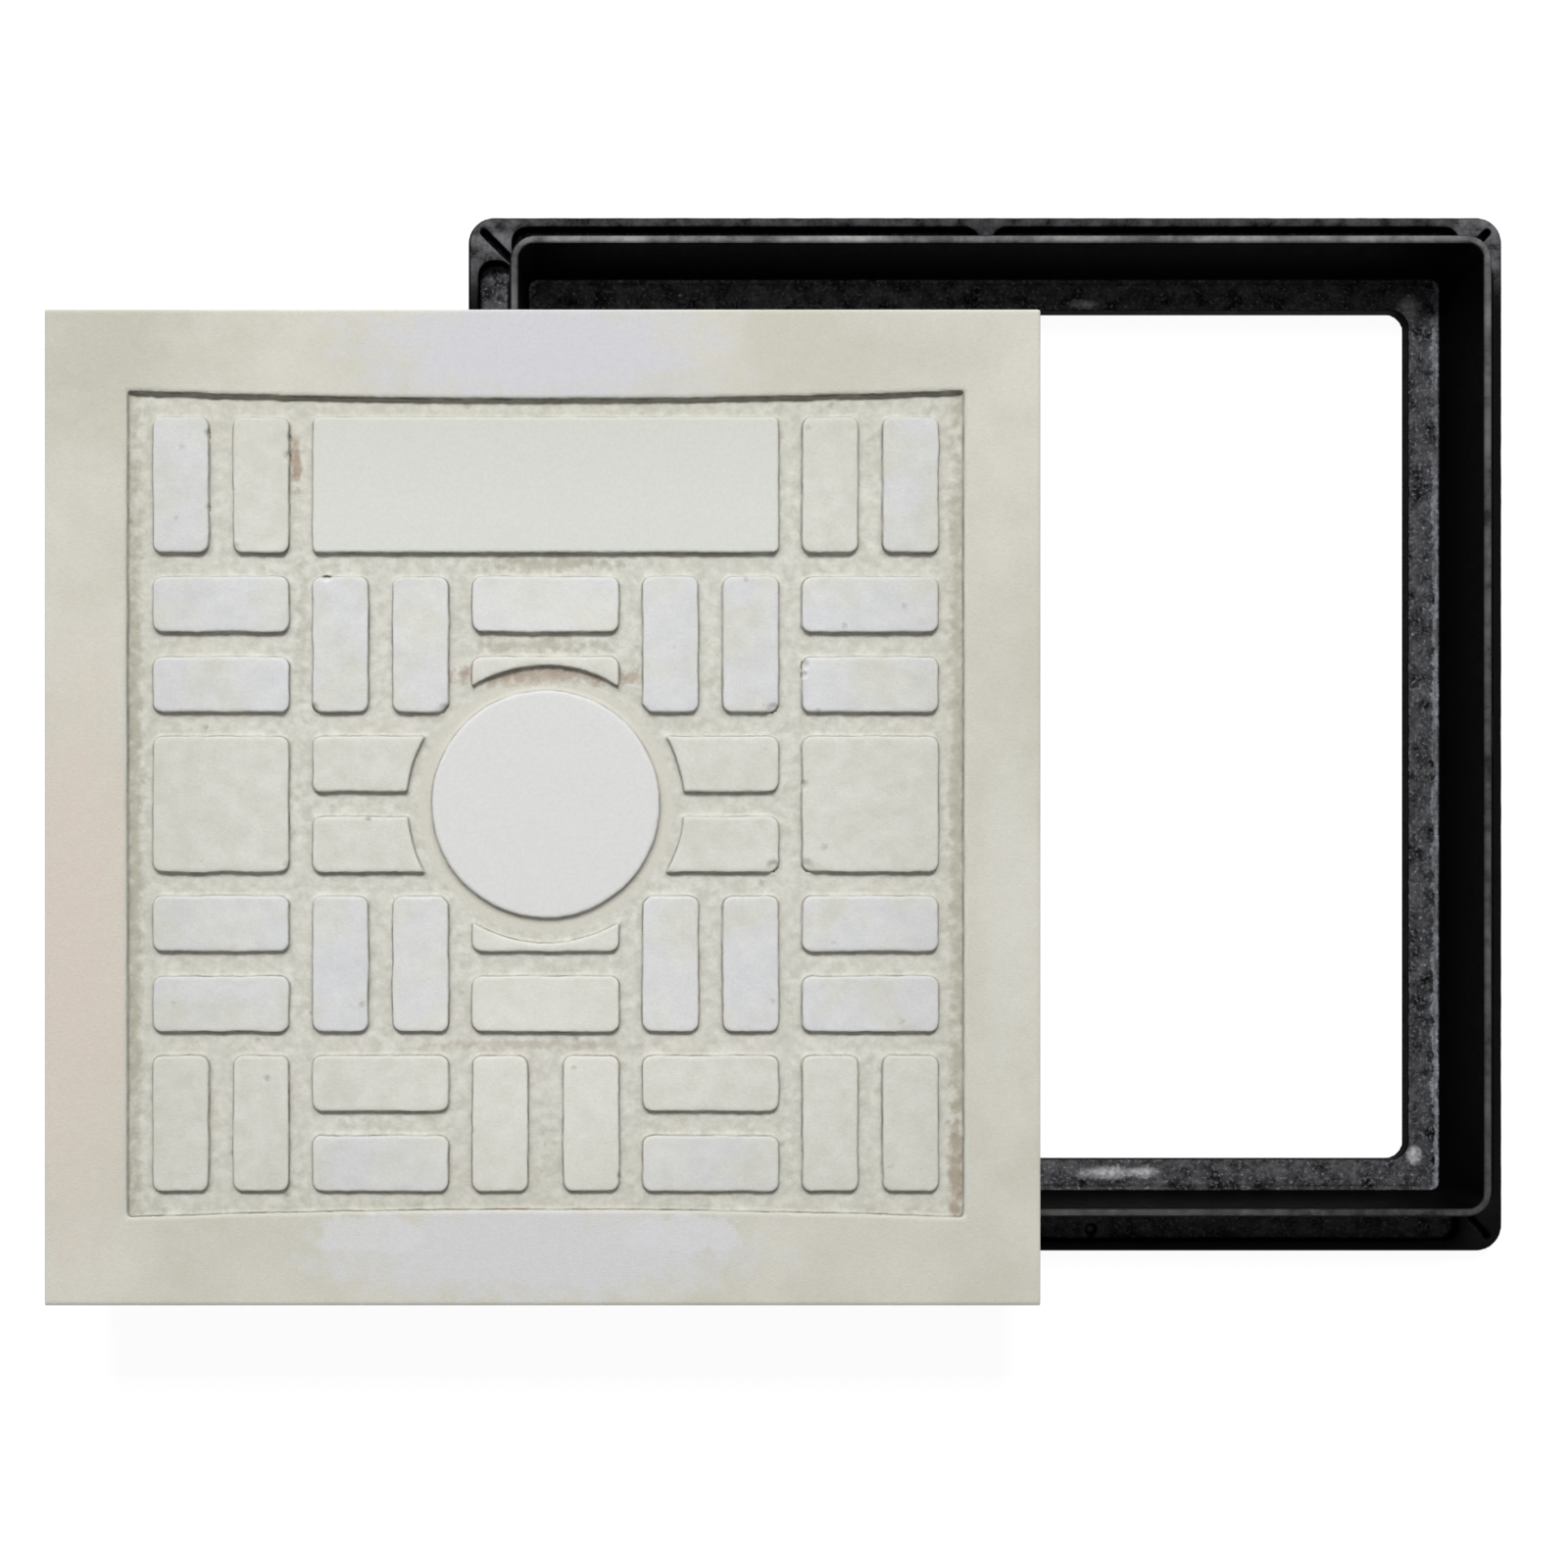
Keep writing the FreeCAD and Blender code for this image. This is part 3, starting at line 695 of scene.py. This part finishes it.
# Pits: dark spots painted for the shade inside small bubble holes that the mesh doesn't have
bubble = add(stone, "bubbles", position, per(32))
bubble = add(stone, "plus", bubble, add(stone, "range", speckle, 0.3, 0.7, -0.03, 0.03))
painted_pit_shade = add(stone, "times", add(stone, "range", bubble, 0.09, 0.01, 0, 0.4), panel)
painted_pit_shade = add(stone, "times", painted_pit_shade, add(stone, "range", smooth_top, 1, 0))
colour = add(stone, "blend", painted_pit_shade, colour, linear("#5F5A4E"))
feed(stone, colour, surface.inputs["Base Color"])
print("stone: specks, dirt and pits added")

# %% [markdown]
# ### Grit
#
# The grain of the limestone is far finer than the mesh, so it is only a bump, and the trowelled blank
# tops have nearly none. Cement has no gloss: the surface is rough and reflects very little.

# %% Grain and gloss of the stone
GRIT_HEIGHT = 0.35 * MM
grit_strength = add(stone, "range", smooth_top, 0, 1, 0.6, 0.08)
feed(stone, add(stone, "bump", grit, grit_strength, GRIT_HEIGHT), surface.inputs["Normal"])
surface.inputs["Roughness"].default_value = 0.85
surface.inputs["Specular IOR Level"].default_value = 0.3
cover.data.materials.append(stone)
print("stone:", len(stone.node_tree.nodes), "nodes")

# %% [markdown]
# ## Coated iron
#
# The frame was dipped in black bitumen: a deep black on the walls, which nothing touches, and a dull,
# dusty grey on the level parts. The rim is rubbed by every cover that was dropped in, so the coat is
# thin and grey there. Such wear could be painted by hand, but height and slope find the same places by
# themselves: what faces up gathers dust, and what stands highest is rubbed. The rim, the lip and its
# corners are also painted lighter towards the back, as painted highlights from the lamp behind.
#
# Moulding sand is a third of a millimetre, too fine to show in the picture, so its grain is drawn at
# 2.6 mm. Dust lies in blotches of about 12 mm, and wear comes and goes over about 60 mm.

# %% Noise and masks of the coated iron
coat, surface = start_material("bitumen_dipped_sand_cast_iron")
position = add(coat, "position")
sand = add(coat, "noise", position, per(2.6), 5, 0.6)
blotch = add(coat, "noise", position, per(12), 6, 0.7)
streak = add(coat, "noise", position, per(60), 5, 0.7)

height = add(coat, "split", position)
towards_back = add(coat, "split", position, output="Y")
# These masks grow towards the back. They paint the rim, the lip and its corners lighter there, as painted
# highlights from the lamp behind.
behind = add(coat, "range", towards_back, -340 * MM, 340 * MM)
at_back = add(coat, "range", towards_back, 300 * MM, 345 * MM)
upward = add(coat, "range", add(coat, "split", add(coat, "normal")), 0.7, 0.97)
on_lip = add(coat, "range", height, LIP_TOP - 3 * MM, LIP_TOP - 1 * MM)
on_rim = add(coat, "range", height, FRAME_TOP - 1.6 * MM, FRAME_TOP - 0.4 * MM)

# How far out a place lies: across tells the left and right ledges, the smaller of both the corners.
outward = add(coat, "absolute", position)
across = add(coat, "split", outward, output="X")
nearest = add(coat, "smaller", across, add(coat, "split", outward, output="Y"))
print("iron: noises of 2.6, 12 and 60 mm, masks for slope, lip, rim and corners")

# %% Dust on the ledge with painted glints, and a duller lip painted lighter at the back
dust_and_painted_light = mottled(coat, blotch, 0.36, 0.66, "#0F0F10", "#545457")
# Paler and near-white grains: partly pale dust in the sand's grain, partly painted glints on it.
dust_and_painted_light = add(coat, "blend", add(coat, "range", sand, 0.52, 0.74), dust_and_painted_light, linear("#727377"))
dust_and_painted_light = add(coat, "blend", add(coat, "range", sand, 0.68, 0.76), dust_and_painted_light, linear("#C0C0C4"))

# The lip is painted lighter towards the back, as painted light from the lamp behind, and its back corners
# lighter still.
lip_painted_light = add(coat, "blend", at_back, linear("#0E0E0F"), linear("#47474A"))
lip = add(coat, "blend", add(coat, "range", blotch, 0.35, 0.62), linear("#090909"), lip_painted_light)
corner = add(coat, "times", add(coat, "range", nearest, 315 * MM, 340 * MM), behind)
lip = add(coat, "blend", corner, lip, mottled(coat, blotch, 0.36, 0.64, "#202022", "#6C6C6F"))
dust_and_painted_light = add(coat, "blend", on_lip, dust_and_painted_light, lip)
print("iron: dust and lip coloured")

# %% [markdown]
# ### Where covers have worn the coat, and painted highlights
#
# A pale strip runs along the left and right ledges beside the wall: a highlight on the edge of the
# groove there, painted into the colour. Covers have knocked the ledge here and there. The rim has lost
# most of its coat, and it is painted lighter at the back than at the front, as a painted highlight.

# %% Paint a highlight along the groove on the ledges
GROOVE_EDGE = 318 * MM
STRIP_MIDDLE, STRIP_HALF, STRIP_WANDER = GROOVE_EDGE + 1 * MM, 2.2 * MM, 2.5 * MM
# A highlight along the edge of the groove beside the wall, painted as a pale strip
wandering = add(coat, "plus", across, add(coat, "range", blotch, 0.35, 0.65, -STRIP_WANDER, STRIP_WANDER))
painted_groove_highlight = add(coat, "within", wandering, STRIP_MIDDLE, STRIP_HALF)
painted_groove_highlight = add(coat, "times", painted_groove_highlight, add(coat, "within", height, LEDGE_TOP, 2 * MM))
painted_groove_highlight = add(coat, "times", painted_groove_highlight, add(coat, "range", streak, 0.36, 0.62, 0.15, 0.9))
painted_groove_highlight = add(coat, "times", painted_groove_highlight, add(coat, "range", sand, 0.35, 0.6, 0.3, 1.0))
dust_and_painted_light = add(coat, "blend", painted_groove_highlight, dust_and_painted_light, linear("#92959C"))
print("iron: a strip", round(2 * STRIP_HALF / MM, 1), "mm wide worn along two ledges")

# %% Scuff the ledge
# Each scuff: middle and half size in millimetres. It ends well below the rim.
SCUFFS = ((86, -309, 20, 4), (113, -309, 11, 4), (300, 302, 8, 7), (304, -297, 5, 6), (72, 304, 9, 3))
SCUFF_HEIGHT = 20
SCUFF_SOFTNESS = 0.5
torn = add(coat, "range", blotch, 0.3, 0.7, 0.2, 1.2)
for x, y, half_x, half_y in SCUFFS:
    middle = Vector((x, y, LEDGE_TOP / MM)) * MM
    half = Vector((half_x, half_y, SCUFF_HEIGHT)) * MM
    where = patch(coat, position, middle, half, torn, SCUFF_SOFTNESS)
    where = add(coat, "times", where, add(coat, "range", sand, 0.3, 0.6, 0.4, 1.0))
    dust_and_painted_light = add(coat, "blend", where, dust_and_painted_light, linear("#B4B4B6"))
print("iron:", len(SCUFFS), "scuffs")

# %% Rub the rim, and paint it lighter towards the back as a painted highlight
# Both the worn and the coated rim are painted lighter towards the back, as a painted highlight from the
# lamp behind.
rim_wear_and_painted_highlight = add(coat, "blend", behind, linear("#464645"), linear("#747474"))
rim_wear_and_painted_highlight = add(coat, "blend", at_back, rim_wear_and_painted_highlight, linear("#B2B2B0"))
rim_coat = add(coat, "blend", at_back, linear("#2A2A2B"), linear("#5A5A5C"))
rim = add(coat, "blend", add(coat, "range", streak, 0.38, 0.62), rim_coat, rim_wear_and_painted_highlight)
rim = add(coat, "blend", add(coat, "range", blotch, 0.42, 0.66, 0, 0.6), rim, linear("#5E5E5D"))
level_colour = add(coat, "blend", on_rim, dust_and_painted_light, rim)
feed(coat, add(coat, "blend", upward, linear("#030303"), level_colour), surface.inputs["Base Color"])
print("iron: rim rubbed, walls left black")

# %% [markdown]
# ### Grain and gloss
#
# Fresh bitumen shines, but this coat has weathered dull: in the picture no wall shows a reflection. So
# it reflects next to nothing. The sand's grain catches the light through its bump, and its palest
# grains are painted into the colour, partly as dust and partly as painted glints.

# %% Grain and gloss of the coated iron
SAND_HEIGHT = 0.5 * MM
feed(coat, add(coat, "range", blotch, 0.3, 0.7, 0.5, 0.7), surface.inputs["Roughness"])
feed(coat, add(coat, "bump", sand, 0.5, SAND_HEIGHT), surface.inputs["Normal"])
surface.inputs["Specular IOR Level"].default_value = 0.02
iron.data.materials.append(coat)
print("iron:", len(coat.node_tree.nodes), "nodes")

# %% [markdown]
# ## Studio
#
# One large soft lamp stands behind the object and high, so each raised edge throws a short shadow
# towards the front, as in the picture. A weak sky fills the rest. Together they give a level surface
# about as much light as it needs to look like its own colour. The background is white only to a ray
# that shows it, so it adds no light of its own to the object.

# %% Light it
# Places and sizes are in metres here, and the lamp's power is in watts.
KEY_PLACE, KEY_AIM = Vector((-0.9, 5.6, 7.4)), Vector((-0.2, -0.05, 0.05))
KEY_WIDTH, KEY_POWER = 2.0, 940
SKY_LIGHT, WHITE = 0.16, 1.0


def shows_background(owner):
    """1 for a ray that shows the background itself: straight, in a reflection or through glass."""
    seen = add(owner, "larger", add(owner, "ray"), add(owner, "ray", output="Is Glossy Ray"))
    return add(owner, "larger", seen, add(owner, "ray", output="Is Transmission Ray"))


key_data = bpy.data.lights.new("key", "AREA")
key_data.size = KEY_WIDTH
key_data.energy = KEY_POWER
key = bpy.data.objects.new("key", key_data)
bpy.context.scene.collection.objects.link(key)
key.location = KEY_PLACE
key.rotation_euler = (KEY_AIM - KEY_PLACE).to_track_quat("-Z", "Y").to_euler()

world = bpy.data.worlds.new("studio")
world.use_nodes = True
sky = world.node_tree.nodes["Background"]
sky.inputs["Color"].default_value = (1, 1, 1, 1)
feed(world, add(world, "range", shows_background(world), 0, 1, SKY_LIGHT, WHITE), sky.inputs["Strength"])
bpy.context.scene.world = world
bpy.context.scene.view_settings.view_transform = "Standard"
print("lit by one lamp and a weak sky")

# %% [markdown]
# ### The floor
#
# The object stands on pale paper. Light that bounces back to the object finds it nearly white. To the
# eye it is a darker grey that glows, and the two add up to white. The object's shadow falls on the grey
# only, so it dims the paper a little and no more. The paper lies a hair below the frame's underside,
# because two faces in one plane would show through each other in patches.

# %% Lay the floor
FLOOR_SIDE = 12
FLOOR_DROP = 0.5 * MM
FLOOR_GLOW = 0.945
bpy.ops.object.select_all(action="DESELECT")
bpy.ops.mesh.primitive_plane_add(size=FLOOR_SIDE, location=(0, 0, -FLOOR_DROP))
floor = bpy.context.object
floor.name = "floor"
paper, surface = start_material("pale_floor")
seen = shows_background(paper)
feed(paper, add(paper, "blend", seen, linear("#EEEEEC"), linear("#4D4D4D")), surface.inputs["Base Color"])
feed(paper, add(paper, "times", seen, FLOOR_GLOW), surface.inputs["Emission Strength"])
surface.inputs["Emission Color"].default_value = (1, 1, 1, 1)
surface.inputs["Roughness"].default_value = 0.9
floor.data.materials.append(paper)
print("floor laid,", FLOOR_SIDE, "m wide")
